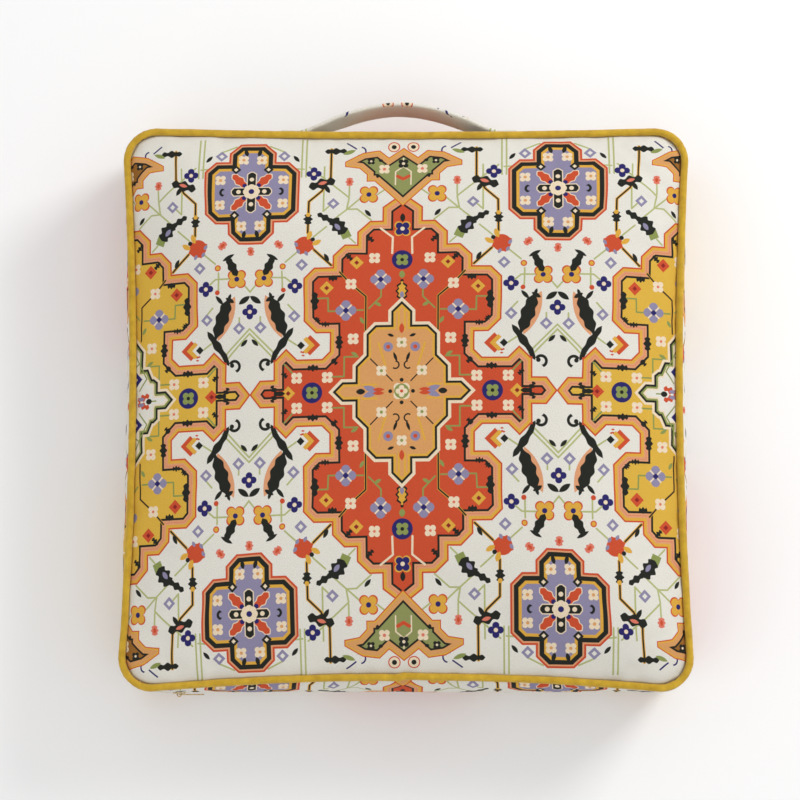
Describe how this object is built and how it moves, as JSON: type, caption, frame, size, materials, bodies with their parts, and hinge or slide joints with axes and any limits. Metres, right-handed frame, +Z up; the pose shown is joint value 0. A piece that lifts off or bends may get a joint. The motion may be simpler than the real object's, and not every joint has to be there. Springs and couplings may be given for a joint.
{
  "type": "floor cushion",
  "caption": "Square box floor cushion with a printed removable cover, corded piping round both edges, a carrying handle on one side and a zip on the other.",
  "frame": {"origin": "centre of the flat underside, on the floor", "axes": "+Z up through the cushion, +Y towards the handle side"},
  "size_m": [0.5006, 0.5317, 0.1155],
  "materials": {
    "printed_cloth": "matte",
    "piping_cloth": "matte",
    "plain_cloth": "matte",
    "inner_case": "matte",
    "cotton_cord": "matte",
    "foam": "matte",
    "wadding": "matte",
    "zip_tape": "matte",
    "zip_coil": "satin",
    "zip_metal": "satin"
  },
  "bodies": {
    "cushion": {"top_panel": "printed_cloth", "bottom_panel": "plain_cloth", "gusset_handle_side": "printed_cloth", "gusset_left": "printed_cloth", "gusset_right": "printed_cloth", "zip_panel_upper": "printed_cloth", "zip_panel_lower": "printed_cloth", "piping_cover_top": "piping_cloth", "piping_cord_top": "cotton_cord", "piping_cover_bottom": "piping_cloth", "piping_cord_bottom": "cotton_cord", "zip_tape_upper": "zip_tape", "zip_tape_lower": "zip_tape", "zip_coil_upper": "zip_coil", "zip_coil_lower": "zip_coil", "zip_end_tab_left": "printed_cloth", "zip_end_tab_right": "printed_cloth", "handle_end_left": "printed_cloth", "handle_end_right": "printed_cloth", "handle_backing_left": "plain_cloth", "handle_backing_right": "plain_cloth", "inner_case_top": "inner_case", "inner_case_bottom": "inner_case", "wadding_top": "wadding", "foam_core": "foam", "wadding_bottom": "wadding"},
    "handle": {"handle_strap": "printed_cloth", "handle_webbing": "cotton_cord"},
    "zip_slider_body": {"zip_slider": "zip_metal"},
    "zip_pull_body": {"zip_pull": "zip_metal"}
  },
  "joints": [
    {"name": "handle_swing", "type": "hinge", "parent": "cushion", "child": "handle", "pos_m": [-0.006, 0.26252, 0.0485], "axis": [1, 0, 0], "range_deg": [-36, 54]},
    {"name": "zip_slide", "type": "slide", "parent": "cushion", "child": "zip_slider_body", "axis": [1, 0, 0], "range_m": [0, 0.4]},
    {"name": "zip_pull_swing", "type": "hinge", "parent": "zip_slider_body", "child": "zip_pull_body", "pos_m": [-0.2003, -0.2513, 0.0485], "axis": [0, 0, -1], "range_deg": [0, 175]}
  ]
}
